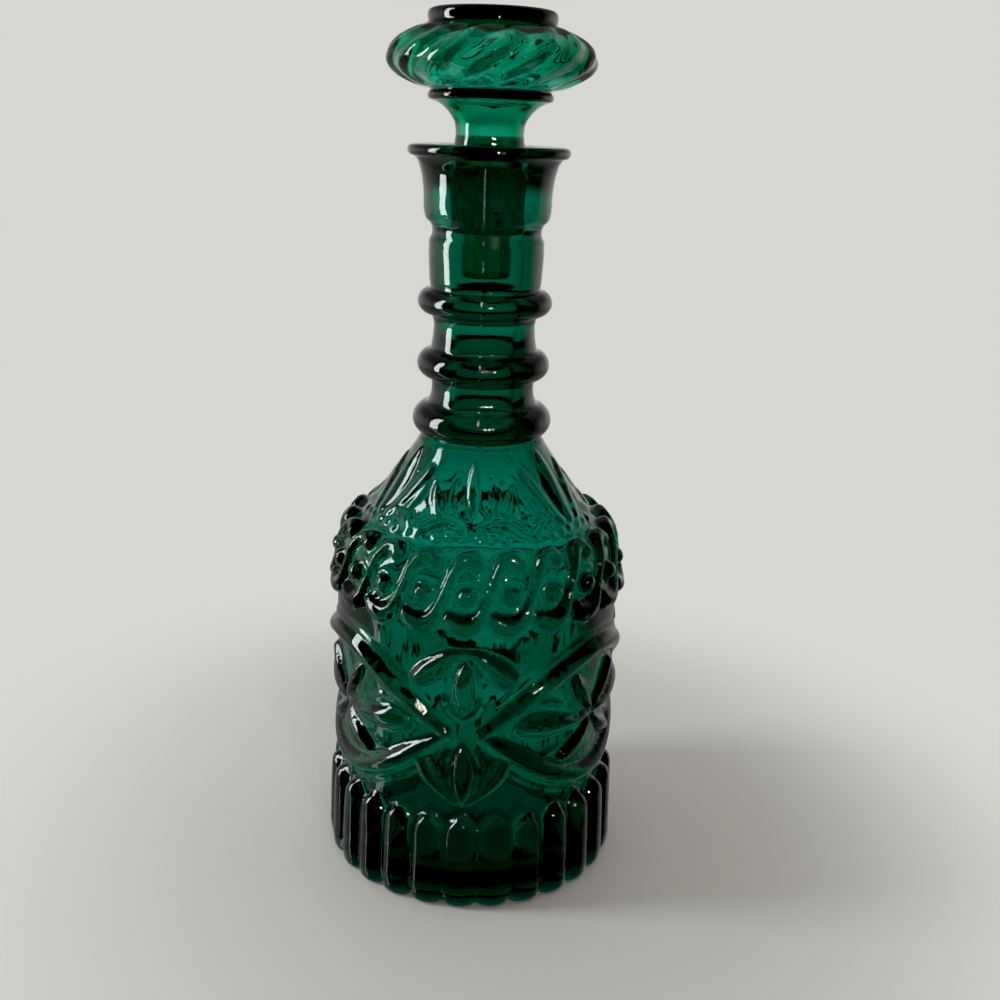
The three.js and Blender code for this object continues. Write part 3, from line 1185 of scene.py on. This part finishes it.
@dataclass
class Stopper:
    """The hollow glass stopper: peg, flared shank, lower disc, swirled cushion and top disc.

    Attributes:
        finish: The glass.
        tip: Height of the peg's tip.
        top: Height of the top disc's rim.
        columns: Columns round it.
        cushion_radius: Radius of the cushion at its widest.
        cushion_middle: Height of its widest.
        cushion_below: Half the height of the oval's lower part.
        cushion_above: Half the height of its upper part.
        cushion_foot: Radius and height where it meets the lower disc.
        cushion_head: Radius and height where it meets the top disc.
        flutes: How many flutes it has.
        flute_depth: Their depth.
        flute_reach: Share of the way out from the discs where they are full.
        inner_share: The hollow's share of that depth.
        twist: Degrees that a flute turns over the twist height.
        twist_height: That height.
        disc_radius: Radius of the two discs.
        top_dip: How far the top is hollowed in its middle.
        wall: Thickness of the cushion's wall.
        hollow_top: Height of the hollow's roof.
        peg_radius: Radius of the peg.
        bore: Radius of the hollow in the peg.
        seat: Height where the peg meets the shank.
    """

    finish: GlassFinish
    tip: float = field(default_factory=lambda: height_of("glass_stopper", 0))
    top: float = field(default_factory=lambda: height_of("glass_stopper", 1))
    columns: int = 360
    cushion_radius: float = 30.0
    cushion_middle: float = 247.0
    cushion_below: float = 10.2
    cushion_above: float = 11.6
    cushion_foot: Knot = (17.0, 238.9)
    cushion_head: Knot = (18.0, 256.6)
    flutes: int = 15
    flute_depth: float = 0.9
    flute_reach: float = 0.6
    inner_share: float = 0.35
    twist: float = 46.0
    twist_height: float = 18.0
    disc_radius: float = 18.0
    top_dip: float = 0.6
    wall: float = 3.6
    hollow_top: float = 254.9
    peg_radius: float = 7.4
    bore: float = 4.6
    seat: float = 220.1

    def cushion(self, heights: Sequence[float], inset: float = 0.0) -> list[Knot]:
        """Knots on the flattened oval of the cushion, half an ellipse below and half above.

        Args:
            heights: Heights of the knots.
            inset: Distance inside the outer surface.

        Returns:
            Knots of (radius, height).
        """
        level = np.asarray(heights) - self.cushion_middle
        part = level / np.where(level < 0, self.cushion_below, self.cushion_above)
        return list(zip(self.cushion_radius * np.sqrt(1 - part**2) - inset, heights))

    def outside(self) -> Array:
        """Outline from the tip of the peg up to the middle of the top.

        Returns:
            Rows of (radius, height).
        """
        peg, tip, top, seat = self.peg_radius, self.tip, self.top, self.seat
        end = [(self.bore + 0.5, tip), (peg - 0.9, tip + 0.1), (peg, tip + 1.4)]
        straight = [(peg, tip + 1.4), (peg, seat)]
        shank = [
            (peg, seat), (9.5, seat + 0.2), (10.2, 222.8), (9.8, 227.5), (10.3, 230.4),
            (11.6, 232.4), (13.8, 234.6), (16.2, 235.8), (17.6, 236.3), (self.disc_radius, 237.2),
            (17.5, 238.3), self.cushion_foot,
        ]
        levels = [239.6, 240.6, 242, 244, 246, 248, 250, 252, 254, 255.2, 256.1]
        cushion = [self.cushion_foot, *self.cushion(levels), self.cushion_head]
        disc = [
            self.cushion_head, (18.2, 257.4), (18.2, 258.8), (17.8, 259.6), (17.0, top),
            (14, top - self.top_dip / 2), (2, top - self.top_dip),
        ]
        steps = ((end, 0.6), (straight, 3.0), (shank, 0.6), (cushion, 0.6), (disc, 0.7))
        return joined(*(smooth_line(knots, step) for knots, step in steps))

    def inside(self) -> Array:
        """Outline of the hollow from the middle of its roof down to the tip of the peg.

        Returns:
            Rows of (radius, height).
        """
        bore, tip = self.bore, self.tip
        knots = [
            (2, self.hollow_top), (14, 254.6), (18.6, 253.6),
            *self.cushion([252, 250, 247, 244, 241.8], self.wall),
            (16.4, 239.4), (12.6, 237.0), (9.4, 234.6), (7.7, 231.6), (7.3, 228), (7.3, 225),
            (6.4, 221.6), (bore + 0.4, 218), (bore, 212), (bore, tip + 2), (bore + 0.1, tip + 0.4),
            (bore + 0.5, tip),
        ]
        return smooth_line(knots, step=1.4)

    def flutes_relief(self, outline: Array, angles: Array) -> Array:
        """Leaning flutes that sink into the cushion and fade out at the two discs.

        A flute's section is a squared cosine, and it leans by an angle in step with height.

        Args:
            outline: The outside outline.
            angles: Degrees, one per column.

        Returns:
            Relief in millimetres.
        """
        radius, height = outline[:, :1], outline[:, 1:]
        turn = self.twist * (height - self.cushion_middle) / self.twist_height
        crest = np.cos(np.radians(self.flutes * (angles[None, :] - turn) / 2)) ** 2
        reach = np.clip((radius - self.disc_radius) / (self.cushion_radius - self.disc_radius), 0, 1)
        on_cushion = (height > self.cushion_foot[1]) & (height < self.cushion_head[1])
        depth = self.flute_depth * fade(reach, 0.0, self.flute_reach)
        return np.where(on_cushion, depth * (crest - 1), 0.0)

    def mesh(self) -> bpy.types.Mesh:
        """One closed skin from the roof of the hollow, round the tip of the peg, to the top.

        Returns:
            The new mesh.
        """
        angles = whole_turn(self.columns)
        inside, outside = self.inside(), self.outside()
        # The hollow takes its flutes from the outside at the same height, one wall further out.
        hidden = self.flutes_relief(inside + np.array([self.wall, 0.0]), angles)
        skin = Skin().pole(self.hollow_top).rings(turned(inside, angles, -self.inner_share * hidden))
        skin.rings(turned(outside[1:], angles, self.flutes_relief(outside[1:], angles)))
        return skin.pole(self.top - self.top_dip).mesh("fine_glass_stopper")

    def build(self) -> None:
        """Makes and dresses the stopper."""
        fit_piece(self.mesh(), self.finish.material(), "glass_stopper", Body.STOPPER)


@dataclass
class CorkSleeve:
    """The tapered cork sleeve on the stopper's peg.

    Attributes:
        finish: The cork.
        bottom: Height of its bottom face.
        top: Height of its top face.
        bore: Radius of its bore.
        bottom_radius: Outside radius at the bottom.
        top_radius: Outside radius at the top.
        edge: How far its two outside edges are rounded.
        columns: Columns round it.
        pits: How many pits it has.
        pit_depth: Depth of the deepest.
        pit_sizes: The smallest and the largest pit's radius.
        pit_margin: Distance from either end that is free of their middles.
        pit_squash: Weight of height in a pit's distance; less than 1 makes it tall.
        seed: Start of the random draws that place them.
    """

    finish: CorkFinish
    bottom: float = field(default_factory=lambda: height_of("stopper_cork", 0))
    top: float = field(default_factory=lambda: height_of("stopper_cork", 1))
    bore: float = 7.7
    bottom_radius: float = 10.7
    top_radius: float = 11.2
    edge: float = 0.8
    columns: int = 180
    pits: int = 26
    pit_depth: float = 0.35
    pit_sizes: Span = (0.5, 1.3)
    pit_margin: float = 1.5
    pit_squash: float = 0.4
    seed: int = 7

    def pitting(self, surface: Array) -> Array:
        """Shallow pits scattered over the outside, each a dome pressed inwards.

        A point moves towards the axis by the deepest dome over it; a dome falls with the
        distance from a pit's middle, in which height counts for less than the way round.

        Args:
            surface: Points of the sleeve.

        Returns:
            The points moved towards the axis.
        """
        draw = np.random.default_rng(self.seed)
        angle = draw.uniform(0, 2 * np.pi, self.pits)
        height = draw.uniform(self.bottom + self.pit_margin, self.top - self.pit_margin, self.pits)
        size = draw.uniform(*self.pit_sizes, self.pits)
        radius = np.hypot(surface[..., 0], surface[..., 1])
        centre = np.stack([np.cos(angle), np.sin(angle)], axis=-1) * self.top_radius
        depth = np.zeros(radius.shape)
        for (x, y), z, reach in zip(centre, height, size):
            level = (surface[..., 0] - x) ** 2 + (surface[..., 1] - y) ** 2
            away = np.sqrt(level + self.pit_squash * (surface[..., 2] - z) ** 2)
            depth = np.maximum(depth, self.pit_depth * dome(away, reach, 0.8))
        scale = 1 - np.where(radius > self.bore + 1, depth, 0) / radius
        return surface * np.stack([scale, scale, np.ones_like(scale)], axis=-1)

    def rounding(self, radius: float, level: float, inwards: int) -> list[Knot]:
        """Knots of a rounded edge, from the end face to the side.

        Args:
            radius: Radius of the side.
            level: Height of the end face.
            inwards: 1 where the sleeve is above the face, -1 where it is below.

        Returns:
            Knots of (radius, height).
        """
        edge = self.edge
        soft = (radius - 0.2, level + inwards * 0.25)
        return [(radius - edge, level), soft, (radius, level + inwards * edge)]

    def mesh(self) -> bpy.types.Mesh:
        """A ring-shaped skin: bottom, outside, top and bore.

        Returns:
            The new mesh.
        """
        low = self.rounding(self.bottom_radius, self.bottom, 1)
        high = self.rounding(self.top_radius, self.top, -1)[::-1]
        section = joined(
            smooth_line([(self.bore, self.bottom), low[0]], 0.8),
            smooth_line(low, 0.3),
            smooth_line([low[-1], high[0]], 0.4),
            smooth_line(high, 0.3),
            smooth_line([high[-1], (self.bore, self.top)], 0.8),
            smooth_line([(self.bore, self.top), (self.bore, self.bottom)], 3.0)[:-1],
        )
        surface = self.pitting(turned(section, whole_turn(self.columns)))
        return Skin().tube(surface).mesh("fine_stopper_cork")

    def build(self) -> None:
        """Makes and dresses the sleeve."""
        fit_piece(self.mesh(), self.finish.material(), "stopper_cork", Body.STOPPER)


# ---- studio ---------------------------------------------------------------------------------------


@dataclass(frozen=True)
class Panel:
    """A soft rectangular light that isn't itself in the picture.

    Attributes:
        name: The light's name.
        place: Its centre in metres.
        aim: The point it faces.
        size: Width and height in metres.
        power: Watts.
        colour: Its colour.
    """

    name: str
    place: tuple[float, float, float]
    aim: tuple[float, float, float]
    size: tuple[float, float]
    power: float
    colour: Colour = (1.0, 1.0, 1.0)

    def build(self) -> None:
        """Adds the light."""
        light = bpy.data.lights.new(self.name, "AREA")
        light.shape = "RECTANGLE"
        light.size, light.size_y = self.size
        light.energy = self.power
        light.color = self.colour
        lamp = bpy.data.objects.new(self.name, light)
        lamp.location = self.place
        lamp.rotation_euler = (Vector(self.aim) - Vector(self.place)).to_track_quat("-Z", "Y").to_euler()
        lamp.visible_camera = False
        lamp.visible_transmission = False
        bpy.context.collection.objects.link(lamp)


@dataclass(frozen=True)
class Viewpoint:
    """The camera: where it stands and how it is turned.

    Attributes:
        azimuth: Degrees round from the bottle's front.
        distance: Metres from the bottle's axis along the floor.
        height: Metres above the floor.
        pan: Degrees that it looks to the right of the axis.
        tilt: Degrees that it looks down.
        roll: Degrees that it leans.
        lens: Focal length for a 36 mm sensor, in millimetres.
    """

    azimuth: float = 3.62
    distance: float = 0.35169
    height: float = 0.23001
    pan: float = 1.063
    tilt: float = 17.761
    roll: float = 1.976
    lens: float = 42.25

    def build(self) -> None:
        """Adds the camera and makes it the scene's."""
        pan, tilt, roll = (math.radians(angle) for angle in (self.pan, self.tilt, self.roll))
        ahead = Vector((math.sin(pan) * math.cos(tilt), math.cos(pan) * math.cos(tilt), -math.sin(tilt)))
        level = Vector((math.cos(pan), -math.sin(pan), 0.0))
        upright = level.cross(ahead)
        right = level * math.cos(roll) + upright * math.sin(roll)
        up = upright * math.cos(roll) - level * math.sin(roll)
        axes = Matrix((right, up, -ahead)).transposed().to_4x4()
        place = Matrix.Translation((0.0, -self.distance, self.height))
        data = bpy.data.cameras.new("camera")
        data.lens = self.lens
        data.sensor_width = 36.0
        data.clip_start = 0.01
        camera = bpy.data.objects.new("camera", data)
        camera.matrix_world = Matrix.Rotation(math.radians(self.azimuth), 4, "Z") @ place @ axes
        bpy.context.collection.objects.link(camera)
        bpy.context.scene.camera = camera


@dataclass(frozen=True)
class Studio:
    """A pale floor, a pale wall of light behind, dimmer surroundings in front, and soft lights.

    Directions are unit vectors: across is to the right of the bottle's front, depth is away
    behind it and above is up.

    Attributes:
        floor_finish: The floor's finish.
        wall_light: Light of the wall behind the bottle.
        room_light: Light of the room in front of it, as matt surfaces see it.
        mirrored_room: Light of that room through the glass and in its reflections.
        behind: Depths between which the room turns into the wall for matt surfaces.
        wall_edge: The same for the glass, along a line turned by the wall's slant.
        wall_slant: How much of across is taken from depth for that line.
        far_edge: The same for a second bright side, seen only through the glass.
        far_slant: Weight of across, and of nearness, in its steps.
        far_light: Its share of the wall's light.
        overhead: Heights between which the wall darkens upwards.
        overhead_loss: How much of it is lost there.
        table_edge: Depths below level between which reflections see a dark table.
        table_loss: How much is lost in it.
        window_edge: Distances to the left between which the window side brightens.
        window_gain: What it adds, seen through the glass.
        panels: The soft lights.
        view: The camera.
        black_point: Light that the camera records as black.
        bounces: Times that light may pass through glass.
        mirrorings: Times that it may be reflected.
        brightest: The most that indirect light may add, against sparkles.
    """

    floor_finish: FloorFinish = FloorFinish()
    wall_light: Colour = (0.68, 0.68, 0.65)
    room_light: Colour = (0.30, 0.30, 0.29)
    mirrored_room: Colour = (0.065, 0.065, 0.065)
    behind: Span = (-0.5, 0.2)
    wall_edge: Span = (-0.1, 0.45)
    wall_slant: float = 0.25
    far_edge: Span = (0.45, 0.95)
    far_slant: float = 0.7
    far_light: float = 0.7
    overhead: Span = (0.0, 0.5)
    overhead_loss: float = 0.8
    table_edge: Span = (0.05, 0.4)
    table_loss: float = 0.65
    window_edge: Span = (0.45, 0.95)
    window_gain: float = 0.9
    panels: tuple[Panel, ...] = (
        Panel("window", (-0.50, -0.08, 0.30), (0.0, 0.0, 0.30), (0.12, 0.55), 2.6, DAYLIGHT),
        Panel("window_below", (-0.50, -0.08, -0.25), (0.0, 0.0, -0.25), (0.05, 0.48), 0.12, DAYLIGHT),
        Panel("left_pane", (0.42, -1.44, 0.60), (0.0, 0.0, 0.12), (0.06, 0.10), 2.8, LAMPLIGHT),
        Panel("right_pane", (0.60, -1.37, 0.60), (0.0, 0.0, 0.12), (0.06, 0.10), 2.8, LAMPLIGHT),
    )
    view: Viewpoint = Viewpoint()
    black_point: float = 0.005
    bounces: int = 24
    mirrorings: int = 8
    brightest: float = 6.0

    def floor(self) -> None:
        """A round floor at the bottle's foot, just wider than its finish reaches."""
        corners, margin = 64, 1.02
        turn = np.radians(whole_turn(corners))
        rim = np.stack([np.cos(turn), np.sin(turn), np.zeros_like(turn)], axis=-1)
        mesh = bpy.data.meshes.new("floor")
        mesh.from_pydata(rim * self.floor_finish.fading[1] * margin, [], [list(range(corners))])
        mesh.materials.append(self.floor_finish.material())
        floor = bpy.data.objects.new("floor", mesh)
        floor.visible_glossy = False
        bpy.context.collection.objects.link(floor)

    def surroundings(self) -> None:
        """Light from all round: the wall's behind the bottle, the room's in front of it.

        Matt surfaces see a soft step from the room to the wall. The glass sees the wall where
        its steps say, the room's mirrored light elsewhere, and the camera sees only the wall.
        """
        world = bpy.data.worlds.new("surroundings")
        world.use_nodes = True
        bpy.context.scene.world = world
        graph = Graph(world.node_tree)
        wall, room, mirrored = (
            (*light, 1.0) for light in (self.wall_light, self.room_light, self.mirrored_room)
        )
        parts = graph.node("SeparateXYZ", {}, {"Vector": graph.signal("TexCoord", output="Generated")})
        across, depth, above = (Signal(graph, parts.outputs[axis]) for axis in "XYZ")
        rays = graph.node("LightPath")
        direct, sharp, refracted = (
            Signal(graph, rays.outputs[f"Is {kind} Ray"]) for kind in ("Camera", "Glossy", "Transmission")
        )
        below, left = -1.0 * above, -1.0 * across
        wall_side = graph.stretch(depth - self.wall_slant * across, self.wall_edge)
        nearer = self.far_slant * across - self.far_slant * depth
        far_side = self.far_light * graph.stretch(nearer, self.far_edge)
        level = 1.0 - self.overhead_loss * graph.stretch(above, self.overhead)
        table_side = 1.0 - self.table_loss * graph.stretch(below, self.table_edge) * (1.0 - refracted)
        lit = (wall_side + far_side * refracted) * level * table_side
        matt = graph.blend(graph.stretch(depth, self.behind), room, wall)
        colour = graph.blend(sharp, matt, graph.blend(lit, mirrored, wall))
        colour = graph.blend(direct, colour, wall)
        strength = 1.0 + self.window_gain * graph.stretch(left, self.window_edge) * refracted
        background = graph.signal("Background", {}, {"Color": colour, "Strength": strength})
        graph.node("OutputWorld", {}, {"Surface": background})

    def exposure(self) -> None:
        """Plain colours, and enough bounces for light to cross four walls of glass."""
        scene = bpy.context.scene
        view = scene.view_settings
        view.view_transform = "Standard"
        view.use_curve_mapping = True
        view.curve_mapping.black_level = (self.black_point,) * 3
        view.curve_mapping.update()
        scene.cycles.max_bounces = self.bounces
        scene.cycles.transmission_bounces = self.bounces
        scene.cycles.glossy_bounces = self.mirrorings
        scene.cycles.sample_clamp_indirect = self.brightest
        scene.cycles.use_denoising = True

    def build(self) -> None:
        """Sets up the whole studio."""
        self.floor()
        self.surroundings()
        self.exposure()
        for panel in self.panels:
            panel.build()
        self.view.build()


def main() -> None:
    """Builds the bottle, its stopper, the cork and the studio."""
    logging.basicConfig(level=logging.INFO, format="%(name)s: %(message)s")
    Bottle(GlassFinish("bottle_glass", soaked_up=(780.0, 156.0, 200.0))).build()
    Stopper(GlassFinish("stopper_glass", soaked_up=(900.0, 180.0, 285.0))).build()
    CorkSleeve(CorkFinish()).build()
    Studio().build()


if __name__ == "__main__":
    main()
